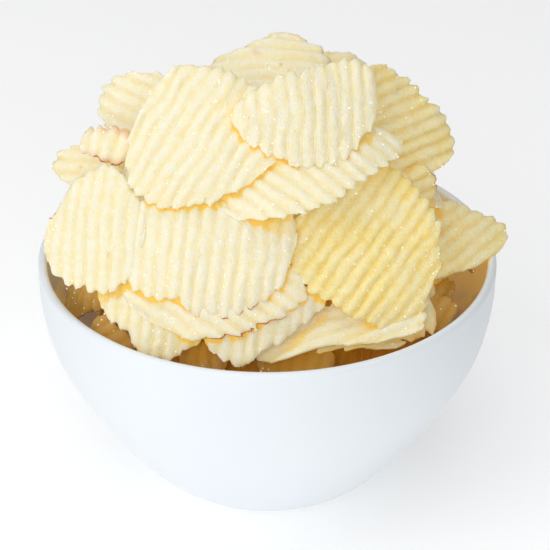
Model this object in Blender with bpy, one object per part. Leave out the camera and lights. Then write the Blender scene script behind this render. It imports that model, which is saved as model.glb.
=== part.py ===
# A serving bowl heaped with ridged potato crisps.
#
# The bowl stands on z = 0 with its middle on the z axis, and the viewer is on the -Y side.
# Two bodies of material: the bowl, and the heap of crisps fused onto a rough core.
# All lengths are in metres unless a name says otherwise; the crisp layout is in whole
# millimetres and degrees, because that is how a crisp is measured and placed by hand.

import math
import random
from collections import namedtuple

import bmesh
import bpy
from mathutils import Vector

MM = 0.001

# Bowl
BOWL_RADIUS = 0.075
BOWL_HEIGHT = 0.0805
BOWL_WALL = 0.003
BOWL_FLOOR = 0.005
BOWL_STEPS = 56
# Outer side as (share of the height, share of the radius), from the foot to the lip
BOWL_SIDE = (
    (0.00, 0.437),
    (0.04, 0.515),
    (0.12, 0.603),
    (0.25, 0.707),
    (0.42, 0.825),
    (0.62, 0.941),
    (0.82, 0.992),
    (1.00, 1.000),
)

# Crisps
RIDGE_PITCH = 0.0041
RIDGE_HEIGHT = 0.0014
CRISP_THICKNESS = 0.0015
CRISP_BACK = 0.0009
CRISP_ROWS = 2
SMALL_CRISP = 0.018
EDGE_TRIM = 0.0004
TIP_DEPTH = 0.5
TIP_LEAST = 0.008
FLAT_ENOUGH = 3.0
DISH_GAP = 0.0004

# Core under the crisps, as (height, radius) in millimetres
CORE_SIDE_MM = (
    (7, 24),
    (16, 38),
    (32, 50),
    (44, 56),
    (54, 57),
    (64, 52),
    (76, 48),
    (88, 45),
    (100, 40),
    (112, 33),
    (123, 25),
    (133, 16),
)
CORE_TOP_MM = 138
CORE_STEPS = 24
CORE_LEFT_BULGE = 0.20
CORE_LUMP_MM = 1.5
HEART_MM = (0, 0, 78)

# One row per crisp seen from the front.
# x, y, z: middle of the crisp.  turn: the way it faces, 0 to the viewer, 90 to +X.
# lift: how far it faces up.  grain: lean of its ridges, 0 up the slope, 90 level.
# reach: how far its edge lies from the middle, in 8, 12 or 16 even directions that
# start at the viewer's right and go round through up-slope.
# bow: how far its edge drops along the ridges and across them.
Crisp = namedtuple("Crisp", "name x y z turn lift grain reach bow")
FRONT_CRISPS = (
    Crisp("big upper left", -19, -31, 137, -8, 34, 29,
          (24, 23, 22, 22, 24, 22, 23, 26, 25, 20, 18, 20), (2, 3)),
    Crisp("top right", 12, -29, 145, 12, 32, 5,
          (22, 25, 16, 12, 13, 17, 22, 18, 16, 16, 18, 19), (2, 2)),
    Crisp("back right fan", 42, 2, 126, 32, 22, 85,
          (16, 13, 13, 17, 23, 20, 18, 18, 18, 18, 20, 23), (2, -3)),
    Crisp("curled band", 15, -37, 128, 4, 44, -50,
          (16, 30, 22, 13, 12, 12, 13, 18, 32, 28, 17, 12, 10, 10, 10, 11), (2, 2.5)),
    Crisp("golden right", 29, -39, 104, 14, 32, 44,
          (26, 26, 27, 24, 20, 22, 23, 21, 19, 24, 28, 26), (2, 3)),
    Crisp("left shoulder", -53, -38, 109, -22, 28, -4,
          (16, 16, 18, 20, 18, 15, 16, 19, 19, 18, 19, 17), (2, 3)),
    Crisp("front middle", -19, -46, 107, -4, 30, 4,
          (27, 28, 18, 16, 18, 26, 30, 25, 18, 20, 22, 24), (3, 3)),
    Crisp("pink chip", -49, -20, 129, -18, 40, 5,
          (9, 8, 6, 7, 10, 6, 5, 7), (1, 1)),
    Crisp("green tip", -60, 0, 111, -28, 38, 80,
          (13, 11, 6, 7, 10, 7, 6, 7), (1, 1)),
    Crisp("summit", 2, 8, 144, -8, 62, 88,
          (18, 16, 14, 12, 11, 12, 20, 15, 12, 10, 11, 14), (2, 2)),
    Crisp("behind summit", 23, 16, 138, 20, 50, 78,
          (10, 8, 7, 10, 10, 8, 7, 9), (2, 2)),
    Crisp("upper left back", -42, 0, 134, -18, 28, 107,
          (11, 12, 11, 9, 10, 11, 12, 13, 12, 10, 10, 10), (2, 2)),
    Crisp("over the rim", 63, -4, 86, 32, 56, 72,
          (20, 15, 15, 17, 18, 16, 17, 17, 12, 10, 10, 14), (2, 2)),
    Crisp("right chip", 49, -8, 109, 25, 28, 78,
          (6, 6, 6, 6, 4, 4, 6, 6), (1, 1)),
    Crisp("under front", -16, -49, 96, -4, 36, -58,
          (28, 20, 12, 11, 12, 18, 29, 22, 18, 16, 17, 20), (2, 1.5)),
    Crisp("lower left", -36, -50, 86, -14, 30, 4,
          (16, 16, 12, 11, 14, 19, 16, 10, 9, 12, 14, 16), (1, 2)),
    Crisp("lower middle", -4, -54, 84, 4, 30, 8,
          (14, 25, 18, 14, 12, 12, 13, 17, 17, 15, 14, 12, 9, 7, 8, 10), (1, 1.5)),
    Crisp("long pale edge", 23, -47, 82, 0, 56, 66,
          (26, 24, 17, 14, 12, 11, 12, 13, 16, 28, 14, 9, 8, 8, 10, 15), (0.5, 0.5)),
    Crisp("edge on", 24, -47, 75, 6, 66, 66,
          (19, 15, 9, 7, 6, 6, 6, 8, 16, 10, 4, 3, 3, 3, 4, 7), (0.5, 0.5)),
    Crisp("edge end", 48, -38, 77, 26, 46, 10,
          (6, 9, 8, 7, 8, 8, 5, 5), (1, 1)),
    Crisp("deep middle", 10, -52, 72, -2, 40, 5,
          (11, 9, 6, 8, 13, 9, 6, 8), (1, 1)),
    Crisp("deep notch", -19, -52, 73, 0, 40, 5,
          (5, 4, 5, 6, 8, 8, 6, 8), (1, 1)),
    Crisp("deep left", -48, -44, 74, -20, 40, 45,
          (7, 4, 4, 9, 8, 4, 4, 8), (1, 1)),
    Crisp("deep right", 56, -14, 74, 30, 34, 50,
          (8, 4, 3, 3, 4, 4, 4, 5), (1, 1)),
    Crisp("deep right low", 56, -20, 70, 20, 45, 50,
          (6, 5, 6, 5, 6, 7, 7, 4), (1, 1)),
)

# Rings of crisps round the back and sides, the widest first:
# height, distance from the axis, lift, mean reach, and the turns they stand at
# Crisps behind the ones in front, that close the sides and the top of the heap
SIDE_CRISPS = (
    Crisp("right side low", 51, -8, 81, 80, 28, 20,
          (14, 13, 12, 14, 15, 14, 12, 13), (1, 2)),
    Crisp("right side", 44, -13, 97, 70, 26, -30,
          (18, 20, 17, 18, 19, 17, 18, 20), (2, 2)),
    Crisp("right side back", 48, 3, 92, 94, 24, 60,
          (16, 15, 17, 15, 16, 17, 15, 16), (1, 2)),
    Crisp("right inner", 36, -10, 112, 70, 34, 10,
          (17, 18, 16, 17, 18, 16, 17, 16), (2, 1)),
    Crisp("left side low", -52, -7, 84, 280, 28, 70,
          (14, 13, 14, 12, 13, 14, 12, 14), (1, 2)),
    Crisp("left side", -49, 1, 98, 270, 24, -20,
          (18, 17, 19, 18, 17, 19, 18, 17), (2, 2)),
    Crisp("left side front", -46, -13, 101, 292, 26, 40,
          (16, 17, 16, 15, 17, 16, 17, 15), (1, 2)),
    Crisp("left inner", -37, -6, 120, 282, 36, -50,
          (17, 16, 18, 17, 16, 18, 16, 17), (2, 2)),
    Crisp("top left", -28, -17, 126, 330, 48, 30,
          (16, 15, 16, 17, 15, 16, 17, 15), (1, 1)),
    Crisp("top middle", -5, -20, 131, 5, 50, -20,
          (15, 16, 15, 14, 16, 15, 16, 15), (1, 1)),
    Crisp("top right inner", 16, -17, 130, 25, 50, 60,
          (15, 14, 15, 15, 14, 15, 14, 15), (1, 1)),
)

BACK_SEED = 11
BACK_RINGS = (
    (92, 54, 32, 26, (116, 142, 176, 212, 254)),
    (112, 42, 42, 25, (104, 155, 206, 262)),
    (126, 30, 54, 21, (125, 220)),
    (129, 15, 70, 19, (115, 240)),
    (76, 60, 40, 15, (106, 150, 192, 236, 284)),
)


def material(name, colour, roughness):
    """A plain Principled material of its own for one object."""
    made = bpy.data.materials.new(name)
    made.use_nodes = True
    shader = made.node_tree.nodes["Principled BSDF"]
    shader.inputs["Base Color"].default_value = (*colour, 1.0)
    shader.inputs["Roughness"].default_value = roughness
    return made


def link(bm, name, collection=None):
    """Turn a bmesh into a linked object and free it."""
    mesh = bpy.data.meshes.new(name)
    bmesh.ops.recalc_face_normals(bm, faces=bm.faces)
    bm.to_mesh(mesh)
    bm.free()
    made = bpy.data.objects.new(name, mesh)
    (collection or bpy.context.scene.collection).objects.link(made)
    return made


def smooth_step(points, x):
    """Height-to-radius curve through (x, value) points, rounded by cubic pieces."""
    last = len(points) - 1
    i = max(k for k in range(last) if points[k][0] <= x or k == 0)
    (x0, y0), (x1, y1) = points[i], points[i + 1]
    before = points[max(i - 1, 0)]
    after = points[min(i + 2, last)]
    slope0 = (y1 - before[1]) / (x1 - before[0])
    slope1 = (after[1] - y0) / (after[0] - x0)
    span = x1 - x0
    t = min(max((x - x0) / span, 0.0), 1.0)
    a = y0 * (2 * t**3 - 3 * t**2 + 1) + slope0 * span * (t**3 - 2 * t**2 + t)
    b = y1 * (3 * t**2 - 2 * t**3) + slope1 * span * (t**3 - t**2)
    return a + b


def outer_radius(z):
    return BOWL_RADIUS * smooth_step(BOWL_SIDE, z / BOWL_HEIGHT)


def bowl_profile(grow):
    """Closed half section of the bowl, its wall swollen by grow on every side."""
    lip = BOWL_WALL / 2
    heights = [BOWL_HEIGHT * share for share, _ in BOWL_SIDE[:-1]] + [BOWL_HEIGHT - lip]
    outside = [Vector((outer_radius(z), z)) for z in heights]
    inside = []
    for z in heights[::-1]:
        slope = (outer_radius(z + lip) - outer_radius(z - lip)) / (2 * lip) if z > lip else 1.0
        inward = Vector((-1.0, slope)).normalized()
        point = Vector((outer_radius(z), z)) + inward * (BOWL_WALL + grow)
        if point.y > BOWL_FLOOR + 0.002:
            inside.append(point)
    if grow:
        outside = [point + Vector((grow, 0.0)) for point in outside]
    middle = (outside[-1] + inside[0]) / 2
    half = (outside[-1] - inside[0]).length / 2
    arc = []
    for k in range(1, 4):
        angle = math.pi * k / 4
        arc.append(middle + Vector((math.cos(angle), math.sin(angle))) * half)
    floor_edge = Vector((inside[-1].x - 0.006, BOWL_FLOOR + grow))
    foot = Vector((0.0, 0.0))
    well = Vector((0.0, BOWL_FLOOR + grow))
    return [foot] + outside + arc + inside + [floor_edge, well]


def revolve(profile, steps):
    """Turn a half section that starts and ends on the z axis into a closed solid."""
    bm = bmesh.new()
    verts = [bm.verts.new((point.x, 0.0, point.y)) for point in profile]
    edges = [bm.edges.new(pair) for pair in zip(verts, verts[1:])]
    bmesh.ops.spin(
        bm,
        geom=verts + edges,
        axis=(0, 0, 1),
        cent=(0, 0, 0),
        angle=2 * math.pi,
        steps=steps,
        use_merge=True,
    )
    bmesh.ops.remove_doubles(bm, verts=bm.verts, dist=1e-6)
    return bm


def crisp_axes(crisp):
    """Outward direction, level direction and up-slope direction of a crisp."""
    turn, lift = math.radians(crisp.turn), math.radians(crisp.lift)
    out = Vector((math.sin(turn) * math.cos(lift), -math.cos(turn) * math.cos(lift), math.sin(lift)))
    level = Vector((math.cos(turn), math.sin(turn), 0.0))
    return out, level, out.cross(level)


def reach_at(crisp, angle):
    """Edge distance at an angle, rounded through the given ones."""
    count = len(crisp.reach)
    x = (angle / (2 * math.pi) * count) % count
    i = int(x)
    f = x - i
    p0, p1, p2, p3 = (crisp.reach[(i + k) % count] for k in (-1, 0, 1, 2))
    bend = p2 - p0 + f * (2 * p0 - 5 * p1 + 4 * p2 - p3 + f * (3 * (p1 - p2) + p3 - p0))
    return (p1 + 0.5 * f * bend) * MM


def crisp_outline(crisp):
    """Edge points as (along the ridges, across the ridges)."""
    grain = math.radians(crisp.grain)
    points = []
    for k in range(96):
        angle = 2 * math.pi * k / 96
        reach = reach_at(crisp, angle)
        points.append((reach * math.sin(angle + grain), reach * math.cos(angle + grain)))
    return points


def chord(outline, across):
    """Lowest and highest point of the outline on one line along the ridges."""
    found = []
    for (u0, v0), (u1, v1) in zip(outline, outline[1:] + outline[:1]):
        if (v0 - across) * (v1 - across) <= 0 and v0 != v1:
            found.append(u0 + (u1 - u0) * (across - v0) / (v1 - v0))
    return min(found), max(found)


def crisp_solid(crisp, collection):
    """A bowed, ridged face with a thin rim, and a back that tapers into the core."""
    out, level, slope = crisp_axes(crisp)
    grain = math.radians(crisp.grain)
    along = slope * math.cos(grain) + level * math.sin(grain)
    across = level * math.cos(grain) - slope * math.sin(grain)
    middle = Vector((crisp.x, crisp.y, crisp.z)) * MM
    half = sum(crisp.reach) / len(crisp.reach) * MM
    outline = crisp_outline(crisp)
    low = min(v for _, v in outline) + EDGE_TRIM
    high = max(v for _, v in outline) - EDGE_TRIM
    folds = 2 * max(2, round((high - low) / RIDGE_PITCH))
    rows = CRISP_ROWS if half > SMALL_CRISP else 1
    bm = bmesh.new()
    face = {}
    under = {}
    for i in range(folds + 1):
        v = low + (high - low) * i / folds
        first, last = chord(outline, v)
        for j in range(rows + 1):
            u = first + (last - first) * j / rows
            drop = MM * (crisp.bow[0] * (u / half) ** 2 + crisp.bow[1] * (v / half) ** 2)
            spot = middle + along * u + across * v - out * drop
            lift = CRISP_THICKNESS / 2 + (-1) ** i * RIDGE_HEIGHT / 2
            face[i, j] = bm.verts.new(spot + out * lift)
            if i in (0, folds) or (i % 2 == 0 and j in (0, rows)):
                under[i, j] = bm.verts.new(spot - out * CRISP_BACK)
    for i in range(folds):
        for j in range(rows):
            bm.faces.new((face[i, j], face[i + 1, j], face[i + 1, j + 1], face[i, j + 1]))
    behind = middle.lerp(Vector(HEART_MM) * MM, TIP_DEPTH)
    behind -= out * max(0.0, (behind - middle).dot(out) + TIP_LEAST)
    tip = bm.verts.new(behind)
    for j in (0, rows):
        for i in range(0, folds, 2):
            bm.faces.new((face[i, j], face[i + 1, j], under[i, j]))
            bm.faces.new((face[i + 1, j], face[i + 2, j], under[i + 2, j]))
            bm.faces.new((face[i + 1, j], under[i + 2, j], under[i, j]))
            bm.faces.new((under[i, j], under[i + 2, j], tip))
    for i in (0, folds):
        for j in range(rows):
            bm.faces.new((face[i, j], face[i, j + 1], under[i, j + 1], under[i, j]))
            bm.faces.new((under[i, j], under[i, j + 1], tip))
    bmesh.ops.triangulate(bm, faces=bm.faces)
    return link(bm, crisp.name, collection)


def back_crisps():
    """Seeded crisps for the rings round the back and sides."""
    rng = random.Random(BACK_SEED)
    made = []
    for height, distance, lift, size, turns in BACK_RINGS:
        for turn in turns:
            angle = math.radians(turn + rng.uniform(-6, 6))
            away = distance + rng.uniform(-2, 2)
            reach = [size * rng.uniform(0.86, 1.14) for _ in range(8)]
            made.append(
                Crisp(
                    f"back {height} {turn}",
                    away * math.sin(angle),
                    -away * math.cos(angle),
                    height + rng.uniform(-3, 3),
                    turn + rng.uniform(-14, 14),
                    lift + rng.uniform(-9, 9),
                    rng.uniform(-80, 80),
                    reach,
                    (rng.uniform(1, 3), rng.uniform(1, 4)),
                )
            )
    return made


def heap_core():
    """A lumpy mound, wider to the left, low against the dish so that gaps stay open."""
    rng = random.Random(BACK_SEED)
    bm = bmesh.new()
    rings = []
    for z, radius in CORE_SIDE_MM:
        ring = []
        for k in range(CORE_STEPS):
            angle = 2 * math.pi * k / CORE_STEPS
            x, y = math.cos(angle), math.sin(angle)
            left = max(0.0, -0.85 * x - 0.5 * y)
            wide = radius * (1 + CORE_LEFT_BULGE * left * min(1.0, max(0.0, (z - 76) / 24)))
            wide += rng.uniform(-CORE_LUMP_MM, CORE_LUMP_MM)
            ring.append(bm.verts.new((wide * x * MM, wide * y * MM, z * MM)))
        rings.append(ring)
    for lower, upper in zip(rings, rings[1:]):
        for k in range(CORE_STEPS):
            n = (k + 1) % CORE_STEPS
            bm.faces.new((lower[k], lower[n], upper[n], upper[k]))
    top = bm.verts.new((0, 0, CORE_TOP_MM * MM))
    for k in range(CORE_STEPS):
        bm.faces.new((rings[-1][k], rings[-1][(k + 1) % CORE_STEPS], top))
    bm.faces.new(rings[0][::-1])
    bmesh.ops.triangulate(bm, faces=bm.faces)
    return link(bm, "crisps")


def apply_modifiers(target):
    """Keep the evaluated mesh and drop the modifiers that made it."""
    graph = bpy.context.evaluated_depsgraph_get()
    result = bpy.data.meshes.new_from_object(target.evaluated_get(graph))
    target.modifiers.clear()
    target.data = result


def keep_outer_shell(target):
    """Keep the one big closed surface, without hollows or scrap, and merge its flat neighbours."""
    bm = bmesh.new()
    bm.from_mesh(target.data)
    bmesh.ops.remove_doubles(bm, verts=bm.verts, dist=2e-6)
    bmesh.ops.dissolve_degenerate(bm, edges=bm.edges, dist=2e-6)
    bmesh.ops.triangulate(bm, faces=bm.faces)
    left = set(bm.faces)
    shells = []
    while left:
        shell = [left.pop()]
        for face in shell:
            for edge in face.edges:
                for other in edge.link_faces:
                    if len(edge.link_faces) == 2 and other in left:
                        left.remove(other)
                        shell.append(other)
        shells.append(shell)
    shells.sort(key=len)
    scrap = [face for shell in shells[:-1] for face in shell]
    bmesh.ops.delete(bm, geom=scrap, context="FACES")
    bmesh.ops.holes_fill(bm, edges=[e for e in bm.edges if e.is_boundary], sides=4)
    stray = [v for v in bm.verts if not v.link_faces]
    bmesh.ops.delete(bm, geom=stray, context="VERTS")
    flat = math.radians(FLAT_ENOUGH)
    bmesh.ops.dissolve_limit(bm, angle_limit=flat, verts=bm.verts, edges=bm.edges)
    bmesh.ops.triangulate(bm, faces=bm.faces)
    bm.to_mesh(target.data)
    bm.free()


def build_bowl():
    bowl = link(revolve(bowl_profile(0.0), BOWL_STEPS), "bowl")
    bowl.data.materials.append(material("white glaze", (0.86, 0.90, 0.93), 0.25))
    return bowl


def build_crisps():
    pieces = bpy.data.collections.new("heap pieces")
    bpy.context.scene.collection.children.link(pieces)
    for crisp in list(FRONT_CRISPS) + list(SIDE_CRISPS) + back_crisps():
        crisp_solid(crisp, pieces)
    heap = heap_core()
    join = heap.modifiers.new("join", "BOOLEAN")
    join.operation = "UNION"
    join.operand_type = "COLLECTION"
    join.collection = pieces
    join.solver = "EXACT"
    apply_modifiers(heap)
    for piece in list(pieces.objects):
        bpy.data.objects.remove(piece)
    bpy.data.collections.remove(pieces)

    clearance = link(revolve(bowl_profile(DISH_GAP), BOWL_STEPS), "dish clearance")
    trim = heap.modifiers.new("trim", "BOOLEAN")
    trim.operation = "DIFFERENCE"
    trim.object = clearance
    trim.solver = "EXACT"
    apply_modifiers(heap)
    bpy.data.objects.remove(clearance)

    keep_outer_shell(heap)
    heap.data.materials.clear()
    heap.data.materials.append(material("fried potato", (0.90, 0.76, 0.42), 0.7))
    return heap


def main():
    for old in list(bpy.data.objects):
        bpy.data.objects.remove(old)
    build_bowl()
    build_crisps()


main()
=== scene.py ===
# %% [markdown]
# # A bowl heaped with ridged potato crisps
#
# This lesson dresses a plain solid model of a bowl of crisps. The solid model is loaded
# first and gives the sizes: every piece made here sits where its solid sits, in metres,
# with the bowl's foot on z = 0 and the viewer on the -Y side.

# %% Load the solid model and keep its size
import math
import random
from collections import namedtuple

import bmesh
import bpy
from mathutils import Euler, Matrix, Vector, noise
from mathutils.bvhtree import BVHTree


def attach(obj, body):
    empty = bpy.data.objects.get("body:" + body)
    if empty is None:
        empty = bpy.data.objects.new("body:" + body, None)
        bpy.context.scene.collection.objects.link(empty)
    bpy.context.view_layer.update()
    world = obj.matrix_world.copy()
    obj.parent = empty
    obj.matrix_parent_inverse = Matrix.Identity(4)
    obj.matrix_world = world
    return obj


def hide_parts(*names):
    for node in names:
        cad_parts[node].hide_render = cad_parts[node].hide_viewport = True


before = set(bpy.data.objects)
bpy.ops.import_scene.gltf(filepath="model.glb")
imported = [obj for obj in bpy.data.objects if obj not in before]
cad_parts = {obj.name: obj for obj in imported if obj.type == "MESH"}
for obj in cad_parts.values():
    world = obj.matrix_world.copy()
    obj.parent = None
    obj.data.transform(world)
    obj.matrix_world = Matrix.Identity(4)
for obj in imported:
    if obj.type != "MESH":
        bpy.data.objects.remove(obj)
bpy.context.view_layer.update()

MM = 0.001

# %% [markdown]
# ## The camera
#
# The photographer stood back with a long lens and looked down at the bowl by about thirty
# degrees. A long lens keeps the rim's ellipse flat and even. The distance and the lens are
# chosen together, so that the bowl fills as much of the square picture as it does there.

# %% Camera
LOOK_DOWN = math.radians(30.6)
LOOK_FROM = 0.700
LOOK_AT = Vector((0.0025, 0.0, 0.071))
LENS_MM = 138.8
SENSOR_MM = 36.0

forward = Vector((0.0, math.cos(LOOK_DOWN), -math.sin(LOOK_DOWN)))
camera = bpy.data.objects.new("camera", bpy.data.cameras.new("camera"))
camera.data.lens = LENS_MM
camera.data.sensor_width = SENSOR_MM
camera.location = LOOK_AT - forward * LOOK_FROM
camera.rotation_euler = (math.pi / 2 - LOOK_DOWN, 0.0, 0.0)
bpy.context.scene.collection.objects.link(camera)
bpy.context.scene.camera = camera
print("camera at", [round(x, 3) for x in camera.location])

# %% [markdown]
# ## Writing materials as sums
#
# A procedural material is a small calculation that runs at every point of a surface. It
# reads more easily as a line of arithmetic than as a drawing of boxes, so a thin wrapper
# lets a node's output be added, multiplied and subtracted like a number. Colours are not
# numbers, so they are mixed by a node made for colours.

# %% Value and Finish helpers
# A Mix node has sockets for numbers, vectors and colours; these are the ones for colours
MIX_FIRST, MIX_SECOND, MIX_RESULT = 6, 7, 2


class Value:
    """A number that changes over a surface; arithmetic on it adds Math nodes."""

    def __init__(self, finish, socket):
        self.finish, self.socket = finish, socket

    def maths(self, operation, *terms):
        inputs = dict(enumerate(terms))
        return self.finish.node("ShaderNodeMath", {"operation": operation}, inputs)

    def __add__(self, other):
        return self.maths("ADD", self, other)

    def __radd__(self, other):
        return self.maths("ADD", other, self)

    def __sub__(self, other):
        return self.maths("SUBTRACT", self, other)

    def __rsub__(self, other):
        return self.maths("SUBTRACT", other, self)

    def __mul__(self, other):
        return self.maths("MULTIPLY", self, other)

    def __rmul__(self, other):
        return self.maths("MULTIPLY", other, self)


class Finish:
    """A material with one Principled shader, built up node by node."""

    def __init__(self, name, **constants):
        self.material = bpy.data.materials.new(name)
        self.material.use_nodes = True
        self.tree = self.material.node_tree
        self.shader = self.tree.nodes["Principled BSDF"]
        for socket, value in constants.items():
            self.shader.inputs[socket.replace("_", " ")].default_value = value

    def node(self, kind, settings=None, inputs=None, output=0):
        made = self.tree.nodes.new(kind)
        for key, value in (settings or {}).items():
            setattr(made, key, value)
        for key, value in (inputs or {}).items():
            self.connect(value, made.inputs[key])
        return Value(self, made.outputs[output])

    def connect(self, value, socket):
        if isinstance(value, Value):
            self.tree.links.new(value.socket, socket)
        else:
            socket.default_value = value

    def vary(self, name, value):
        self.connect(value, self.shader.inputs[name])

    def place(self):
        return self.node("ShaderNodeTexCoord", output="Object")

    def attribute(self, name):
        return self.node("ShaderNodeAttribute", {"attribute_name": name}, output="Fac")

    def speckle(self, size, detail=2.0, rough=0.5):
        """Cloudy noise from 0 to 1 whose blots are about size metres across."""
        inputs = {"Vector": self.place(), "Scale": 1.0 / size, "Detail": detail}
        inputs["Roughness"] = rough
        return self.node("ShaderNodeTexNoise", inputs=inputs, output="Fac")

    def fade(self, value, start, end):
        """0 below start and 1 above end, with a smooth change between them."""
        limits = {"Value": value, "From Min": start, "From Max": end}
        return self.node("ShaderNodeMapRange", {"interpolation_type": "SMOOTHSTEP"}, limits)

    def mix(self, share, first, second):
        """A colour between two others."""
        inputs = {"Factor": share, MIX_FIRST: first, MIX_SECOND: second}
        return self.node("ShaderNodeMix", {"data_type": "RGBA"}, inputs, MIX_RESULT)

    def bump(self, height, depth, strength=1.0):
        inputs = {"Height": height, "Distance": depth, "Strength": strength}
        self.vary("Normal", self.node("ShaderNodeBump", inputs=inputs))


def colour(red, green, blue):
    """A colour given as a screen shows it, 0 to 255, turned into light."""
    shares = [x / 255 for x in (red, green, blue)]
    light = [x / 12.92 if x <= 0.04045 else ((x + 0.055) / 1.055) ** 2.4 for x in shares]
    return (*light, 1.0)


print("material helpers ready")

# %% [markdown]
# ## The bowl
#
# The bowl is a thrown or slip-cast piece with a white glaze: a shape turned about one
# axis. It could be lathed from a curve or built from rings, but spinning one half section
# in a bmesh is the shortest way and gives a clean, closed wall. The section runs up the
# outside, over a rounded lip, down the inside and back to the middle of the floor.

# %% Bowl section
BOWL_RADIUS = 0.075
BOWL_HEIGHT = 0.0805
BOWL_WALL = 0.003
BOWL_FLOOR = 0.005
BOWL_STEPS = 160
BOWL_SIDE_POINTS = 40
LIP_POINTS = 10
FOOT_CROWDING = 1.3
FLOOR_CLEARANCE = 0.001
FLOOR_BEVEL = 0.004
SLOPE_STEP = 0.0005
# Outer side as (share of the height, share of the radius), from the foot to the lip
BOWL_SIDE = (
    (0.00, 0.437),
    (0.04, 0.515),
    (0.12, 0.603),
    (0.25, 0.707),
    (0.42, 0.825),
    (0.62, 0.941),
    (0.82, 0.992),
    (1.00, 1.000),
)


def curve_through(points, x):
    """A rounded curve through (x, value) points."""
    last = len(points) - 1
    i = max(k for k in range(last) if points[k][0] <= x or k == 0)
    (x0, y0), (x1, y1) = points[i], points[i + 1]
    before, after = points[max(i - 1, 0)], points[min(i + 2, last)]
    slope0 = (y1 - before[1]) / (x1 - before[0])
    slope1 = (after[1] - y0) / (after[0] - x0)
    span = x1 - x0
    t = min(max((x - x0) / span, 0.0), 1.0)
    rise = y0 * (2 * t**3 - 3 * t**2 + 1) + slope0 * span * (t**3 - 2 * t**2 + t)
    return rise + y1 * (3 * t**2 - 2 * t**3) + slope1 * span * (t**3 - t**2)


def outer_radius(z):
    return BOWL_RADIUS * curve_through(BOWL_SIDE, z / BOWL_HEIGHT)


def wall_normal(z):
    """Direction from the outer side into the wall, as (radius, height)."""
    above, below = z + SLOPE_STEP, max(z - SLOPE_STEP, 0.0)
    slope = (outer_radius(above) - outer_radius(below)) / (SLOPE_STEP + min(z, SLOPE_STEP))
    return Vector((-1.0, slope)).normalized()


def bowl_section():
    lip = BOWL_WALL / 2
    top = BOWL_HEIGHT - lip
    shares = [(k / BOWL_SIDE_POINTS) ** FOOT_CROWDING for k in range(BOWL_SIDE_POINTS + 1)]
    heights = [top * share for share in shares]
    outside = [Vector((outer_radius(z), z)) for z in heights]
    inside = [p + wall_normal(p.y) * BOWL_WALL for p in reversed(outside)]
    inside = [p for p in inside if p.y > BOWL_FLOOR + FLOOR_CLEARANCE]
    middle = (outside[-1] + inside[0]) / 2
    half = (outside[-1] - inside[0]).length / 2
    arc = []
    for k in range(1, LIP_POINTS):
        angle = math.pi * k / LIP_POINTS
        arc.append(middle + Vector((math.cos(angle), math.sin(angle))) * half)
    floor_edge = Vector((inside[-1].x - FLOOR_BEVEL, BOWL_FLOOR))
    return [Vector((0, 0))] + outside + arc + inside + [floor_edge, Vector((0, BOWL_FLOOR))]


print("bowl section has", len(bowl_section()), "points")

# %% Spin the bowl
def finish_mesh(shape, name, finish, smooth=True):
    """Store a bmesh as an object at the origin, with its material."""
    mesh = bpy.data.meshes.new(name)
    shape.to_mesh(mesh)
    shape.free()
    mesh.materials.append(finish.material)
    mesh.polygons.foreach_set("use_smooth", [smooth] * len(mesh.polygons))
    made = bpy.data.objects.new(name, mesh)
    bpy.context.scene.collection.objects.link(made)
    return made


def spin_section(section, steps):
    shape = bmesh.new()
    verts = [shape.verts.new((p.x, 0.0, p.y)) for p in section]
    edges = [shape.edges.new(pair) for pair in zip(verts, verts[1:])]
    bmesh.ops.spin(
        shape,
        geom=verts + edges,
        axis=(0, 0, 1),
        cent=(0, 0, 0),
        angle=2 * math.pi,
        steps=steps,
        use_merge=True,
    )
    bmesh.ops.remove_doubles(shape, verts=shape.verts, dist=1e-6)
    bmesh.ops.recalc_face_normals(shape, faces=shape.faces)
    return shape


# %% [markdown]
# ## The glaze
#
# White tableware is a cool, even white with a soft shine. Up close a glaze is never
# perfectly level: it pools in slow waves and carries a few pinholes, so the bump is long
# and shallow, and the roughness drifts a little. Inside, the warm light that crisps throw
# on it is painted: where crisps cover it, the glaze is tinted warm and gives off a faint glow.

# %% Glaze
GLAZE_LOW = colour(234, 240, 245)
GLAZE_HIGH = colour(239, 244, 248)
CRISP_LIGHT = colour(250, 218, 134)
CRISP_LIGHT_SHARE = 0.16
BLACK = colour(0, 0, 0)

glaze = Finish(
    "white_glaze", IOR=1.45, Coat_Weight=0.15, Coat_Roughness=0.25, Emission_Strength=1.0
)
drift = glaze.speckle(0.030, detail=3.0)
pits = glaze.speckle(0.0012, detail=1.0)
clean = glaze.mix(drift, GLAZE_LOW, GLAZE_HIGH)
# Painted light: the inside is tinted warm where crisps cover it, and glows faintly with that
# colour.
painted_bounce_share = glaze.fade(glaze.attribute("cover"), 0.0, 0.5)
glaze.vary("Base Color", glaze.mix(painted_bounce_share, clean, CRISP_LIGHT))
glaze.vary("Emission Color", glaze.mix(CRISP_LIGHT_SHARE * painted_bounce_share, BLACK, CRISP_LIGHT))
glaze.vary("Roughness", 0.34 + 0.08 * drift)
glaze.bump(drift + 0.04 * pits, 0.0003, 0.25)

bowl = finish_mesh(spin_section(bowl_section(), BOWL_STEPS), "bowl_glazed", glaze)
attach(bowl, "root")
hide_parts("bowl")
print("bowl", len(bowl.data.polygons), "faces")
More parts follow.
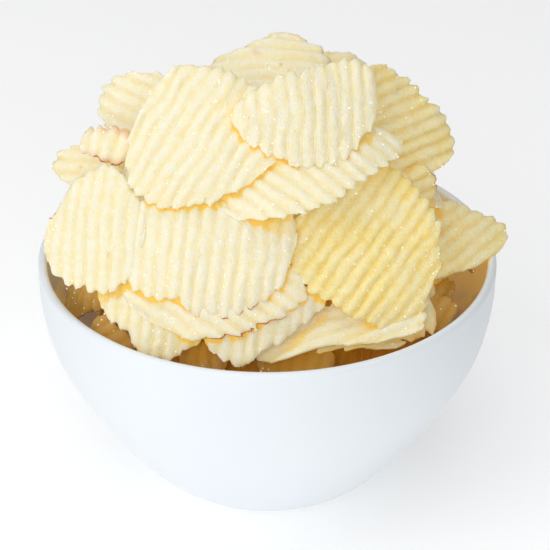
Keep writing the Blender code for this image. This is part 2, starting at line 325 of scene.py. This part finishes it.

# %% [markdown]
# ## Where the crisps lie
#
# A heap of crisps looks random, but the ones that face the viewer each have a place, a
# lean and an outline of their own. Each is one row: where its middle is, which way its
# face looks, how its ridges lean, how far its edge reaches in several directions and how
# much it is bowed. The same rows gave the solid heap its shape. Middles and reaches were
# worked out apart from this script, from outlines read off the photograph.

# %% Crisps that face the viewer
# x, y, z: middle, in millimetres.  turn: the way it faces, 0 to the viewer, 90 to +X.
# lift: how far it faces up.  grain: lean of its ridges, 0 up the slope, 90 level.
# reach: edge distance in 8, 12 or 16 even directions from the viewer's right, round.
# bow: how far its edge drops along the ridges and across them.
# gold: how deeply it is fried; from 0.75 up it is painted the dark golden-brown shade of the
# deep gaps.  brown: how much its edge and blisters have browned.
# peel: directions, in degrees, between which a thread of skin is left on its edge.
Crisp = namedtuple("Crisp", "name x y z turn lift grain reach bow gold brown peel")
FRONT_CRISPS = (
    Crisp("big upper left", -19, -31, 137, -8, 34, 29,
          (24, 23, 22, 22, 24, 22, 23, 26, 25, 20, 18, 20), (2, 3), 0.12, 0.15, None),
    Crisp("top right", 12, -29, 145, 12, 32, 5,
          (22, 25, 16, 12, 13, 17, 22, 18, 16, 16, 18, 19), (2, 2), 0.08, 0.12, None),
    Crisp("back right fan", 42, 2, 126, 32, 22, 85,
          (16, 13, 13, 17, 23, 20, 18, 18, 18, 18, 20, 23), (2, -3), 0.55, 0.15, (285, 305)),
    Crisp("curled band", 15, -37, 128, 4, 44, -50,
          (16, 30, 22, 13, 12, 12, 13, 18, 32, 28, 17, 12, 10, 10, 10, 11),
          (2, 2.5), 0.15, 0.12, None),
    Crisp("golden right", 29, -39, 104, 14, 32, 44,
          (26, 26, 27, 24, 20, 22, 23, 21, 19, 24, 28, 26), (2, 3), 0.62, 0.12, None),
    Crisp("left shoulder", -53, -38, 109, -22, 28, -4,
          (16, 16, 18, 20, 18, 15, 16, 19, 19, 18, 19, 17), (2, 3), 0.10, 0.35, (148, 186)),
    Crisp("front middle", -19, -46, 107, -4, 30, 4,
          (27, 28, 18, 16, 18, 26, 30, 25, 18, 20, 22, 24), (3, 3), 0.05, 0.25, (272, 322)),
    Crisp("pink chip", -49, -20, 129, -18, 40, 5,
          (9, 8, 6, 7, 10, 6, 5, 7), (1, 1), 0.20, 0.75, (225, 330)),
    Crisp("green tip", -60, 0, 111, -28, 38, 80,
          (13, 11, 6, 7, 10, 7, 6, 7), (1, 1), 0.25, 0.10, None),
    Crisp("summit", 2, 8, 144, -8, 62, 88,
          (18, 16, 14, 12, 11, 12, 20, 15, 12, 10, 11, 14), (2, 2), 0.15, 0.55, None),
    Crisp("behind summit", 23, 16, 138, 20, 50, 78,
          (10, 8, 7, 10, 10, 8, 7, 9), (2, 2), 0.30, 0.30, None),
    Crisp("upper left back", -42, 0, 134, -18, 28, 107,
          (11, 12, 11, 9, 10, 11, 12, 13, 12, 10, 10, 10), (2, 2), 0.05, 0.05, None),
    Crisp("over the rim", 63, -4, 86, 32, 56, 72,
          (20, 15, 15, 17, 18, 16, 17, 17, 12, 10, 10, 14), (2, 2), 0.50, 0.35, None),
    Crisp("right chip", 49, -8, 109, 25, 28, 78,
          (6, 6, 6, 6, 4, 4, 6, 6), (1, 1), 0.65, 0.60, (300, 395)),
    Crisp("under front", -16, -49, 96, -4, 36, -58,
          (28, 20, 12, 11, 12, 18, 29, 22, 18, 16, 17, 20), (2, 1.5), 0.20, 0.35, (256, 345)),
    Crisp("lower left", -36, -50, 86, -14, 30, 4,
          (16, 16, 12, 11, 14, 19, 16, 10, 9, 12, 14, 16), (1, 2), 0.22, 0.45, (296, 330)),
    Crisp("lower middle", -4, -54, 84, 4, 30, 8,
          (14, 25, 18, 14, 12, 12, 13, 17, 17, 15, 14, 12, 9, 7, 8, 10),
          (1, 1.5), 0.12, 0.25, (196, 240)),
    Crisp("long pale edge", 23, -47, 82, 0, 56, 66,
          (26, 24, 17, 14, 12, 11, 12, 13, 16, 28, 14, 9, 8, 8, 10, 15),
          (0.5, 0.5), 0.28, 0.20, None),
    Crisp("edge on", 24, -47, 75, 6, 66, 66,
          (19, 15, 9, 7, 6, 6, 6, 8, 16, 10, 4, 3, 3, 3, 4, 7), (0.5, 0.5), 0.45, 0.30, None),
    Crisp("edge end", 48, -38, 77, 26, 46, 10,
          (6, 9, 8, 7, 8, 8, 5, 5), (1, 1), 0.35, 0.45, None),
    Crisp("deep middle", 10, -52, 72, -2, 40, 5,
          (11, 9, 6, 8, 13, 9, 6, 8), (1, 1), 0.92, 0.20, None),
    Crisp("deep notch", -19, -52, 73, 0, 40, 5,
          (5, 4, 5, 6, 8, 8, 6, 8), (1, 1), 0.92, 0.40, None),
    Crisp("deep left", -48, -44, 74, -20, 40, 45,
          (7, 4, 4, 9, 8, 4, 4, 8), (1, 1), 0.90, 0.30, None),
    Crisp("deep right", 56, -14, 74, 30, 34, 50,
          (8, 4, 3, 3, 4, 4, 4, 5), (1, 1), 0.90, 0.30, None),
    Crisp("deep right low", 56, -20, 70, 20, 45, 50,
          (6, 5, 6, 5, 6, 7, 7, 4), (1, 1), 0.90, 0.30, None),
)
print(len(FRONT_CRISPS), "crisps face the viewer")

# %% [markdown]
# A second layer closes the sides and the top of the heap behind them. Its rows are of the
# same kind, chosen one by one, and from the front it stays hidden, so its outlines are plain.

# %% Crisps of the second layer
SIDE_CRISPS = (
    Crisp("right side low", 51, -8, 81, 80, 28, 20,
          (14, 13, 12, 14, 15, 14, 12, 13), (1, 2), 0.45, 0.3, None),
    Crisp("right side", 44, -13, 97, 70, 26, -30,
          (18, 20, 17, 18, 19, 17, 18, 20), (2, 2), 0.3, 0.2, None),
    Crisp("right side back", 48, 3, 92, 94, 24, 60,
          (16, 15, 17, 15, 16, 17, 15, 16), (1, 2), 0.2, 0.3, None),
    Crisp("right inner", 36, -10, 112, 70, 34, 10,
          (17, 18, 16, 17, 18, 16, 17, 16), (2, 1), 0.15, 0.2, None),
    Crisp("left side low", -52, -7, 84, 280, 28, 70,
          (14, 13, 14, 12, 13, 14, 12, 14), (1, 2), 0.3, 0.3, None),
    Crisp("left side", -49, 1, 98, 270, 24, -20,
          (18, 17, 19, 18, 17, 19, 18, 17), (2, 2), 0.2, 0.2, None),
    Crisp("left side front", -46, -13, 101, 292, 26, 40,
          (16, 17, 16, 15, 17, 16, 17, 15), (1, 2), 0.15, 0.2, None),
    Crisp("left inner", -37, -6, 120, 282, 36, -50,
          (17, 16, 18, 17, 16, 18, 16, 17), (2, 2), 0.1, 0.3, None),
    Crisp("top left", -28, -17, 126, 330, 48, 30,
          (16, 15, 16, 17, 15, 16, 17, 15), (1, 1), 0.2, 0.2, None),
    Crisp("top middle", -5, -20, 131, 5, 50, -20,
          (15, 16, 15, 14, 16, 15, 16, 15), (1, 1), 0.1, 0.2, None),
    Crisp("top right inner", 16, -17, 130, 25, 50, 60,
          (15, 14, 15, 15, 14, 15, 14, 15), (1, 1), 0.2, 0.2, None),
)
print(len(SIDE_CRISPS), "crisps in the second layer")

# %% [markdown]
# The back of the heap is not seen from the front, so it follows a rule instead: rings of
# crisps round the mound, each turned outwards with a seeded wobble. A seed makes the same
# heap every time.

# %% Crisps round the back and sides
BACK_SEED = 11
DEEP_BELOW_MM = 80
DEEP_SHADE_GOLD = 0.90
TURN_SLIP = 6
AWAY_SLIP_MM = 2
HEIGHT_SLIP_MM = 3
FACING_SLIP = 14
LIFT_SLIP = 9
GRAIN_SLIP = 80
REACH_SPREAD = (0.86, 1.14)
BOW_ALONG_MM = (1, 3)
BOW_ACROSS_MM = (1, 4)
# height, distance from the axis, lift, mean reach, and the turns they stand at
BACK_RINGS = (
    (92, 54, 32, 26, (116, 142, 176, 212, 254)),
    (112, 42, 42, 25, (104, 155, 206, 262)),
    (126, 30, 54, 21, (125, 220)),
    (129, 15, 70, 19, (115, 240)),
    (76, 60, 40, 15, (106, 150, 192, 236, 284)),
)


def back_crisps():
    rng = random.Random(BACK_SEED)
    made = []
    for height, distance, lift, size, turns in BACK_RINGS:
        for turn in turns:
            angle = math.radians(turn + rng.uniform(-TURN_SLIP, TURN_SLIP))
            away = distance + rng.uniform(-AWAY_SLIP_MM, AWAY_SLIP_MM)
            reach = [size * rng.uniform(*REACH_SPREAD) for _ in range(8)]
            x, y = away * math.sin(angle), -away * math.cos(angle)
            z = height + rng.uniform(-HEIGHT_SLIP_MM, HEIGHT_SLIP_MM)
            looks = turn + rng.uniform(-FACING_SLIP, FACING_SLIP)
            raised = lift + rng.uniform(-LIFT_SLIP, LIFT_SLIP)
            grain = rng.uniform(-GRAIN_SLIP, GRAIN_SLIP)
            bow = (rng.uniform(*BOW_ALONG_MM), rng.uniform(*BOW_ACROSS_MM))
            # Painted shade: back crisps low in the bowl get a gold that paints them the dark
            # golden brown of the deep gaps.
            gold = DEEP_SHADE_GOLD if height < DEEP_BELOW_MM else 0.15 + 0.05 * (len(made) % 7)
            place = (f"back {height} {turn}", x, y, z, looks, raised, grain)
            made.append(Crisp(*place, reach, bow, gold, 0.3, None))
    return made


print(len(back_crisps()), "crisps round the back")

# %% [markdown]
# ## One crisp
#
# A ridged crisp is a thin slice cut with a wavy blade, so its two faces run in parallel
# waves. In the fryer it bows, warps and blisters, and its edge is never a clean line. A
# displaced plane would be quick but would have no thickness. Here a flat grid is given its
# thickness first and then every point is moved to its place on the slice, so the waves
# run right out to a thin, real edge.

# %% Outline of a crisp
RIDGE_PITCH = 0.0041
RIDGE_HEIGHT = 0.0010
CRISP_THICKNESS = 0.0013
EDGE_THICKNESS = 0.5
EDGE_WIDTH = 0.0016
POINTS_PER_RIDGE = 8
ALONG_STEP = 0.0013
OUTLINE_POINTS = 360
RAGGED = 0.0009
CHIP_SIZE = 0.0016
SMALL_CHIP_SIZE = 0.0009
WANDER_SIZE = 0.006
TOOTH = 0.0005


def crisp_axes(crisp):
    """Outward direction, level direction and up-slope direction of a crisp."""
    turn, lift = math.radians(crisp.turn), math.radians(crisp.lift)
    flat = math.cos(lift)
    out = Vector((math.sin(turn) * flat, -math.cos(turn) * flat, math.sin(lift)))
    level = Vector((math.cos(turn), math.sin(turn), 0.0))
    return out, level, out.cross(level)


def reach_at(crisp, angle):
    """Edge distance at an angle, rounded through the given ones."""
    count = len(crisp.reach)
    x = (angle / (2 * math.pi) * count) % count
    i = int(x)
    f = x - i
    p0, p1, p2, p3 = (crisp.reach[(i + k) % count] for k in (-1, 0, 1, 2))
    bend = p2 - p0 + f * (2 * p0 - 5 * p1 + 4 * p2 - p3 + f * (3 * (p1 - p2) + p3 - p0))
    return (p1 + 0.5 * f * bend) * MM


def crisp_outline(crisp, key):
    """Ragged edge as (along the ridges, across the ridges) points."""
    grain = math.radians(crisp.grain)
    points = []
    for k in range(OUTLINE_POINTS):
        angle = 2 * math.pi * k / OUTLINE_POINTS
        reach = reach_at(crisp, angle)
        spot = Vector((math.cos(angle), math.sin(angle), 0)) * reach
        chipped = noise.noise(spot / CHIP_SIZE + key)
        chipped += 0.8 * noise.noise(spot / SMALL_CHIP_SIZE - key)
        reach += RAGGED * (chipped + 1.6 * noise.noise(spot / WANDER_SIZE + key))
        points.append((reach * math.sin(angle + grain), reach * math.cos(angle + grain)))
    return points


def chord(outline, across):
    """Lowest and highest point of the outline on one line along the ridges."""
    found = []
    for (u0, v0), (u1, v1) in zip(outline, outline[1:] + outline[:1]):
        if (v0 - across) * (v1 - across) <= 0 and v0 != v1:
            found.append(u0 + (u1 - u0) * (across - v0) / (v1 - v0))
    tooth = TOOTH * wave(across)
    first, last = min(found) - tooth, max(found) + tooth
    return (first, last) if last > first else ((first + last) / 2,) * 2


# %% Shape of one crisp
VALUE_NAMES = ("ridge", "rim", "gold", "brown", "blister", "peel")
CREST_BREADTH = 0.22
WARP_SIZE, WARP_MM = 0.016, 1.3
WRINKLE_SIZE, WRINKLE_MM = 0.005, 0.30
ROUGH_SIZE, ROUGH_MM = 0.0016, 0.16
BLISTER_SIZE, BLISTER_MM = 0.0052, 0.7
BLISTER_START, BLISTER_GAIN = 0.36, 2.2
RIDGE_WANDER_SIZE, RIDGE_WANDER = 0.009, 0.0008
SWELL_SIZE, LEAST_SWELL = 0.010, 0.3
RIM_WIDTH = 0.006
PEEL_WIDTH = 0.0008
PEEL_FADE = 6
OUTLINE_MARGIN = 0.00005


def wave(across):
    """Ridge profile from -1 in the narrow valley to 1 on the broad crest."""
    turn = 2 * math.pi * across / RIDGE_PITCH
    return (math.cos(turn) - CREST_BREADTH * math.cos(2 * turn) + CREST_BREADTH) / 1.1


def between(angle, limits):
    """How far inside a span of directions an angle lies, from 0 to 1."""
    if limits is None:
        return 0.0
    middle, half = (limits[0] + limits[1]) / 2, (limits[1] - limits[0]) / 2
    away = abs((angle - middle + 180) % 360 - 180)
    return min(1.0, max(0.0, (half - away) / PEEL_FADE))


def crisp_shape(crisp, number):
    """One slice as a bmesh, with the values that its material reads at every point."""
    out, level, slope = crisp_axes(crisp)
    grain = math.radians(crisp.grain)
    along = slope * math.cos(grain) + level * math.sin(grain)
    across = level * math.cos(grain) - slope * math.sin(grain)
    middle = Vector((crisp.x, crisp.y, crisp.z)) * MM
    half = sum(crisp.reach) / len(crisp.reach) * MM
    key = Vector((number * 7.3, number * 3.1, number * 5.7))
    outline = crisp_outline(crisp, key)
    low = min(v for _, v in outline) + OUTLINE_MARGIN
    high = max(v for _, v in outline) - OUTLINE_MARGIN
    columns = max(12, round((high - low) / RIDGE_PITCH * POINTS_PER_RIDGE))
    rows = max(8, round(2 * half / ALONG_STEP))

    shape = bmesh.new()
    bmesh.ops.create_grid(shape, x_segments=columns, y_segments=rows, size=1.0)
    bmesh.ops.solidify(shape, geom=shape.faces[:], thickness=1.0)
    layers = [shape.verts.layers.float.new(name) for name in VALUE_NAMES]
    front = max(v.co.z for v in shape.verts)
    ends = {}
    for vert in shape.verts:
        gx, gy, side = vert.co.x, vert.co.y, 1.0 if vert.co.z > front - 0.5 else -1.0
        v = low + (high - low) * (0.72 * gx + 0.28 * math.sin(math.pi / 2 * gx) + 1) / 2
        if round(gx, 5) not in ends:
            ends[round(gx, 5)] = chord(outline, v)
        first, last = ends[round(gx, 5)]
        u = first + (last - first) * (0.80 * gy + 0.20 * math.sin(math.pi / 2 * gy) + 1) / 2
        edge = min(u - first, last - u, (v - low) * 1.2, (high - v) * 1.2)
        spot = Vector((u, v, 0.0))
        drop = crisp.bow[0] * (u / half) ** 2 + crisp.bow[1] * (v / half) ** 2
        warp = WARP_MM * noise.noise(spot / WARP_SIZE + key)
        warp += WRINKLE_MM * noise.noise(spot / WRINKLE_SIZE + key)
        rough = ROUGH_MM * noise.noise(spot / ROUGH_SIZE + key)
        blister = noise.noise(spot / BLISTER_SIZE - key) - BLISTER_START
        blister = max(0.0, blister) * BLISTER_GAIN
        ridge = wave(v + RIDGE_WANDER * noise.noise(spot / RIDGE_WANDER_SIZE - key))
        swell = max(LEAST_SWELL, 0.9 + noise.noise(spot / SWELL_SIZE + 2 * key))
        thin = EDGE_THICKNESS + (1 - EDGE_THICKNESS) * min(1.0, edge / EDGE_WIDTH)
        height = RIDGE_HEIGHT / 2 * ridge * swell * (1 - 0.4 * min(1.0, blister))
        height += MM * (warp + rough - drop + BLISTER_MM * blister)
        height += side * thin * CRISP_THICKNESS / 2
        vert.co = middle + along * u + across * v + out * height
        heading = math.degrees(math.atan2(u, v)) - crisp.grain
        peel = between(heading, crisp.peel) * max(0.0, 1 - edge / PEEL_WIDTH)
        rim = min(1.0, edge / RIM_WIDTH)
        values = (ridge * side, rim, crisp.gold, crisp.brown, blister, peel)
        for layer, value in zip(layers, values):
            vert[layer] = value
    bmesh.ops.recalc_face_normals(shape, faces=shape.faces)
    return shape


trial = crisp_shape(FRONT_CRISPS[0], 0)
print("the biggest crisp has", len(trial.faces), "faces")
trial.free()

# %% [markdown]
# ## Fried potato
#
# Fried potato is pale and slightly see-through. Crests are cream and the valleys are given a
# painted butter-yellow shade; the deeper fried ones go golden, sugar browns the blisters, and
# a thread of skin stays on some edges. Places where crisps cover each other are painted a deep
# yellow shade and given a painted glow, and every crisp gives off a fainter painted glow, all
# standing in for light come through the crisps. Crisps down in the gaps are painted a dark
# golden-brown shade. The colour therefore follows values stored on the mesh, with cloudy
# noise to break them up, and a rough, oily, salted skin comes from two sizes of bump.

# %% Crisp material
CREST = colour(236, 231, 208)
BUTTER = colour(236, 223, 174)
PALE_GOLD = colour(243, 228, 162)
GOLD = colour(240, 208, 104)
PAINTED_COVER_SHADE = colour(238, 200, 78)
PAINTED_DEEP_SHADE = colour(190, 122, 20)
TOAST = colour(222, 158, 104)
SKIN = colour(182, 84, 58)


def potato_finish(name, shine, painted_open_glow, painted_covered_glow):
    """The painted glows are shares of its colour that a place gives off, standing in for light
    come through.
    """
    potato = Finish(
        name,
        IOR=1.42,
        Specular_IOR_Level=shine,
        Subsurface_Weight=0.35,
        Subsurface_Scale=0.0015,
        Subsurface_Radius=(1.0, 0.8, 0.55),
        Emission_Strength=1.0,
    )
    ridge, rim = potato.attribute("ridge"), potato.attribute("rim")
    gold, brown = potato.attribute("gold"), potato.attribute("brown")
    blister, peel = potato.attribute("blister"), potato.attribute("peel")
    cover = potato.attribute("cover")
    cloud = potato.speckle(0.011, detail=3.0)
    mottle = potato.speckle(0.0024, detail=4.0, rough=0.6)
    grit = potato.speckle(0.0006, detail=3.0, rough=0.65)
    # Painted shade: the ridge valleys are turned butter yellow and the crests cream; mottle and
    # grit break it up.
    painted_ridge_shade_and_mottle = potato.fade(0.5 * ridge + 3.2 * (mottle - 0.5) + 1.6 * (grit - 0.5), -1.0, 1.0)
    fresh = potato.mix(painted_ridge_shade_and_mottle, BUTTER, CREST)
    fried = potato.mix(painted_ridge_shade_and_mottle, GOLD, PALE_GOLD)
    base = potato.mix(potato.fade(gold + 0.8 * (cloud - 0.5), 0.05, 0.9), fresh, fried)
    # Painted shade: places covered by other crisps are turned deep yellow.
    painted_cover_share = potato.fade(cover + 0.3 * (mottle - 0.5), 0.16, 0.68)
    base = potato.mix(0.90 * painted_cover_share, base, PAINTED_COVER_SHADE)
    # Painted shade: a gold of 0.75 and above turns a crisp the dark golden brown of the deep
    # gaps.
    base = potato.mix(0.9 * potato.fade(gold, 0.75, 1.0), base, PAINTED_DEEP_SHADE)
    toasted = potato.fade(blister * brown + 0.4 * (mottle - 0.5), 0.15, 0.6)
    base = potato.mix(0.6 * toasted, base, TOAST)
    singe = potato.fade(brown * (1.1 - rim) + 0.9 * (cloud - 0.5), 0.4, 0.9)
    base = potato.mix(0.6 * singe, base, TOAST)
    thread = potato.fade(peel + 1.6 * (mottle - 0.5), 0.45, 0.85)
    base = potato.mix(0.85 * thread, base, SKIN)
    potato.vary("Base Color", base)
    # Painted glow: every crisp gives off a little of its colour, covered places more.
    painted_glow = painted_open_glow + (painted_covered_glow - painted_open_glow) * cover
    potato.vary("Emission Color", potato.mix(painted_glow, BLACK, base))
    potato.vary("Roughness", 0.36 + 0.3 * mottle)
    potato.bump(0.5 * grit + 0.8 * mottle - 0.8 * ridge, 0.0006, 0.7)
    return potato


crisp_finish = potato_finish("fried_potato", 0.3, 0.13, 0.26)
deep_finish = potato_finish("buried_potato", 0.1, 0.04, 0.05)
print("crisp material has", len(crisp_finish.tree.nodes), "nodes")


# %% Build the crisps in groups
group_facing = {}


def build_group(name, crisps, first_number, finish):
    """Many crisps in one piece, each made alone and then gathered."""
    gathered = bmesh.new()
    group_facing[name] = []
    for offset, crisp in enumerate(crisps):
        shape = crisp_shape(crisp, first_number + offset)
        group_facing[name] += [crisp_axes(crisp)[0]] * len(shape.verts)
        single = bpy.data.meshes.new("single")
        shape.to_mesh(single)
        shape.free()
        gathered.from_mesh(single)
        bpy.data.meshes.remove(single)
    piece = finish_mesh(gathered, name, finish)
    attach(piece, "root")
    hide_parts("crisps")
    print(name, sum(len(p.vertices) - 2 for p in piece.data.polygons), "triangles")
    return piece


front = FRONT_CRISPS
back = back_crisps()
groups = [
    build_group("crisps_front_upper", front[:6], 0, crisp_finish),
    build_group("crisps_front_lower", front[6:20], 6, crisp_finish),
    build_group("crisps_sides", SIDE_CRISPS, 80, crisp_finish),
    build_group("crisps_deep", front[20:] + tuple(back[13:]), 26, deep_finish),
    build_group("crisps_back_wide", back[:9], 40, crisp_finish),
    build_group("crisps_back_top", back[9:13], 60, crisp_finish),
]

# %% [markdown]
# ## What fills the middle
#
# Under the crisps that show lie many more, too dark and broken up to tell apart. A turned
# mound with a lumpy, ridged skin stands for them, painted a deep golden-brown shade down in
# the bowl and paler above it, and only glimpses of it show between the edges.

# %% Mound under the crisps
CORE_SIDE_MM = (
    (7, 24),
    (16, 38),
    (32, 50),
    (44, 56),
    (54, 57),
    (64, 52),
    (76, 48),
    (88, 45),
    (100, 40),
    (112, 33),
    (123, 25),
    (133, 16),
)
CORE_TOP_MM = 138
CORE_LEFT_BULGE = 0.20
BULGE_FROM_MM, BULGE_OVER_MM = 76, 24
MOUND_STEPS = 48
MOUND_CUTS = 3
MOUND_RIDGE_MM = 0.5
LUMP_SIZE, LUMP_MM = 0.012, 2.0
PALE_FROM_MM, PALE_OVER_MM = 88, 16


def mound_shape():
    section = [Vector((0, CORE_SIDE_MM[0][0])) * MM]
    for z, radius in CORE_SIDE_MM:
        section.append(Vector((radius, z)) * MM)
    section.append(Vector((0, CORE_TOP_MM)) * MM)
    shape = spin_section(section, MOUND_STEPS)
    bmesh.ops.subdivide_edges(shape, edges=shape.edges, cuts=MOUND_CUTS, use_grid_fill=True)
    layers = [shape.verts.layers.float.new(name) for name in VALUE_NAMES]
    for vert in shape.verts:
        x, y, z = vert.co
        around = math.hypot(x, y) or 1.0
        left = max(0.0, (-0.85 * x - 0.5 * y) / around)
        high = min(1.0, max(0.0, (z / MM - BULGE_FROM_MM) / BULGE_OVER_MM))
        wide = 1 + CORE_LEFT_BULGE * left * high
        lump = noise.noise(vert.co / LUMP_SIZE) * LUMP_MM * MM
        ridge = math.cos(2 * math.pi * (x + 0.6 * z + 0.3 * y) / RIDGE_PITCH)
        grow = wide + (lump + MOUND_RIDGE_MM * MM * ridge) / max(around, 0.01)
        vert.co.x, vert.co.y = x * grow, y * grow
        # Painted shade: the mound is darker golden brown low in the bowl and paler above the
        # rim.
        painted_depth_shade = 1.2 - 0.8 * min(1.0, max(0.0, (z / MM - PALE_FROM_MM) / PALE_OVER_MM))
        for layer, value in zip(layers, (ridge, 1.0, painted_depth_shade, 0.3, 0.0, 0.0)):
            vert[layer] = value
    bmesh.ops.recalc_face_normals(shape, faces=shape.faces)
    return shape


mound = finish_mesh(mound_shape(), "mound_of_crisps", deep_finish)
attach(mound, "root")
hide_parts("crisps")
print("mound", len(mound.data.polygons), "faces")

# %% [markdown]
# ## How deep a place lies
#
# The deep yellow between crisps and the warm light on the bowl's inside are painted; where
# they go follows a measure: short rays leave every point, low over the crisp, and the sooner
# they meet another surface, the more covered the point is. The result is stored beside the
# other values.

# %% Measure the cover
COVER_REACH = 0.016
BOWL_COVER_REACH = 0.040
COVER_START = 0.0012
COVER_LEAN = 0.6
COVER_WAYS = (Vector((-0.45, -0.4, 0.8)), Vector((0.25, -0.75, 0.6)), Vector((0.0, 0.0, 1.0)))


def cover_tree(pieces):
    points, faces = [], []
    for piece in pieces:
        start = len(points)
        points += [v.co for v in piece.data.vertices]
        faces += [[start + i for i in p.vertices] for p in piece.data.polygons]
    return BVHTree.FromPolygons(points, faces)


def store_cover(piece, tree, reach):
    mesh = piece.data
    flat = group_facing.get(piece.name)
    values = []
    for vert in mesh.vertices:
        away = flat[vert.index] if flat else vert.normal
        if away.dot(vert.normal) < 0:
            away = -away
        start = vert.co + away * COVER_START
        outside = piece is bowl and away.dot(Vector((vert.co.x, vert.co.y, 0.0))) > 0
        total = 0.0
        for way in () if outside else COVER_WAYS:
            along = (way - away * way.dot(away)).normalized()
            distance = tree.ray_cast(start, along + away * COVER_LEAN, reach)[3]
            total += 0.0 if distance is None else 1 - distance / reach
        values.append(total / len(COVER_WAYS))
    mesh.attributes.new("cover", "FLOAT", "POINT").data.foreach_set("value", values)
    return sum(values) / len(values)


tree = cover_tree(groups + [mound, bowl])
for piece in groups + [mound]:
    print(piece.name, "mean cover", round(store_cover(piece, tree, COVER_REACH), 3))
print("bowl mean cover", round(store_cover(bowl, tree, BOWL_COVER_REACH), 3))

# %% [markdown]
# ## Salt and crumbs
#
# Fine salt and beads of oil catch the light as tiny bright specks, and the salt also gives off
# a faint painted glint; a few crumbs have broken off. They are real grains rather than a bump,
# so they keep their size from every side: small cubes turned every way for salt, and squashed,
# dented balls for crumbs, all set on points of the crisps that face outwards.

# %% Places for grains
GRAIN_SEED = 5
SALT_GRAINS = 900
SALT_SIZE = (0.00018, 0.00042)
CRUMBS = 110
CRUMB_SIZE = (0.0005, 0.0013)
MOST_COVER = 0.25
LEAST_OUTWARD = 0.2


def outward_spots(rng, count):
    """Random points on the crisps' outer faces, with the direction they face."""
    spots = []
    while len(spots) < count:
        mesh = rng.choice(groups).data
        vert = mesh.vertices[rng.randrange(len(mesh.vertices))]
        covered = mesh.attributes["cover"].data[vert.index].value
        outward = vert.normal.dot(Vector((vert.co.x, vert.co.y, 0.03)).normalized())
        if covered < MOST_COVER and outward > LEAST_OUTWARD:
            spots.append((vert.co.copy(), vert.normal.copy()))
    return spots


def random_turn(rng):
    turns = [rng.uniform(0, 2 * math.pi) for _ in range(3)]
    return Euler(turns).to_matrix().to_4x4()


# %% Salt grains
salt_finish = Finish(
    "salt",
    Base_Color=colour(255, 252, 244),
    Roughness=0.12,
    IOR=1.54,
    # Painted glint: the salt gives off a little white light so that it sparkles.
    Emission_Color=(1.0, 0.98, 0.92, 1.0),
    Emission_Strength=0.25,
)
salt_finish.bump(salt_finish.speckle(0.0002), 0.00005, 0.4)
rng = random.Random(GRAIN_SEED)
salt_shape = bmesh.new()
for spot, away in outward_spots(rng, SALT_GRAINS):
    size = rng.uniform(*SALT_SIZE)
    here = Matrix.Translation(spot + away * size * 0.3) @ random_turn(rng)
    bmesh.ops.create_cube(salt_shape, size=size, matrix=here)
salt = finish_mesh(salt_shape, "salt_grains", salt_finish, smooth=False)

# %% Crumbs
crumb_shape = bmesh.new()
crumb_values = crumb_shape.verts.layers.float.new("gold")
for spot, away in outward_spots(rng, CRUMBS):
    size = rng.uniform(*CRUMB_SIZE)
    flat = Matrix.Diagonal((1.0, rng.uniform(0.6, 1.0), 0.45, 1.0))
    here = Matrix.Translation(spot + away * size * 0.15) @ random_turn(rng) @ flat
    made = bmesh.ops.create_icosphere(crumb_shape, subdivisions=2, radius=size / 2, matrix=here)
    tone = rng.uniform(0.0, 0.7)
    for vert in made["verts"]:
        dent = 0.25 * noise.noise(vert.co / (0.4 * size))
        vert.co += (vert.co - spot) * dent
        vert[crumb_values] = tone
crumbs = finish_mesh(crumb_shape, "crumbs", crisp_finish, smooth=False)
for piece in (salt, crumbs):
    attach(piece, "root")
    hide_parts("crisps")
    print(piece.name, len(piece.data.polygons), "faces")

# %% [markdown]
# ## Floor and light
#
# The bowl stands on a plain white surface. Three broad soft lights, one at the left, one
# in front and one above, and an even white room keep the shadow to the right faint.

# %% Floor
FLOOR_SIZE = 6.0
floor_finish = Finish(
    "pale_floor",
    Base_Color=(0.80, 0.80, 0.80, 1.0),
    Roughness=0.9,
    Specular_IOR_Level=0.1,
    Emission_Color=(1.0, 1.0, 1.0, 1.0),
    Emission_Strength=0.334,
)
floor_shape = bmesh.new()
bmesh.ops.create_grid(floor_shape, x_segments=1, y_segments=1, size=FLOOR_SIZE / 2)
floor = finish_mesh(floor_shape, "floor", floor_finish, smooth=False)

# %% Lights
LIGHT_AIM = Vector((0, 0, 0.08))
LIGHT_SIZE = 1.4
ROOM_TINT = (0.97, 0.985, 1.0, 1.0)
ROOM_STRENGTH = 0.256


def softbox(name, place, power):
    light = bpy.data.lights.new(name, "AREA")
    light.shape = "DISK"
    light.size = LIGHT_SIZE
    light.energy = power
    made = bpy.data.objects.new(name, light)
    made.location = place
    made.rotation_euler = (LIGHT_AIM - Vector(place)).to_track_quat("-Z", "Y").to_euler()
    bpy.context.scene.collection.objects.link(made)


softbox("key", (-1.10, -0.70, 1.00), 6.2)
softbox("front", (-0.20, -1.50, 0.80), 9.9)
softbox("top", (-0.1, 0.0, 1.5), 7.7)
room = bpy.data.worlds.new("room")
room.use_nodes = True
background = room.node_tree.nodes["Background"]
background.inputs["Color"].default_value = ROOM_TINT
background.inputs["Strength"].default_value = ROOM_STRENGTH
bpy.context.scene.world = room
bpy.context.scene.view_settings.view_transform = "Standard"
print("lights placed")
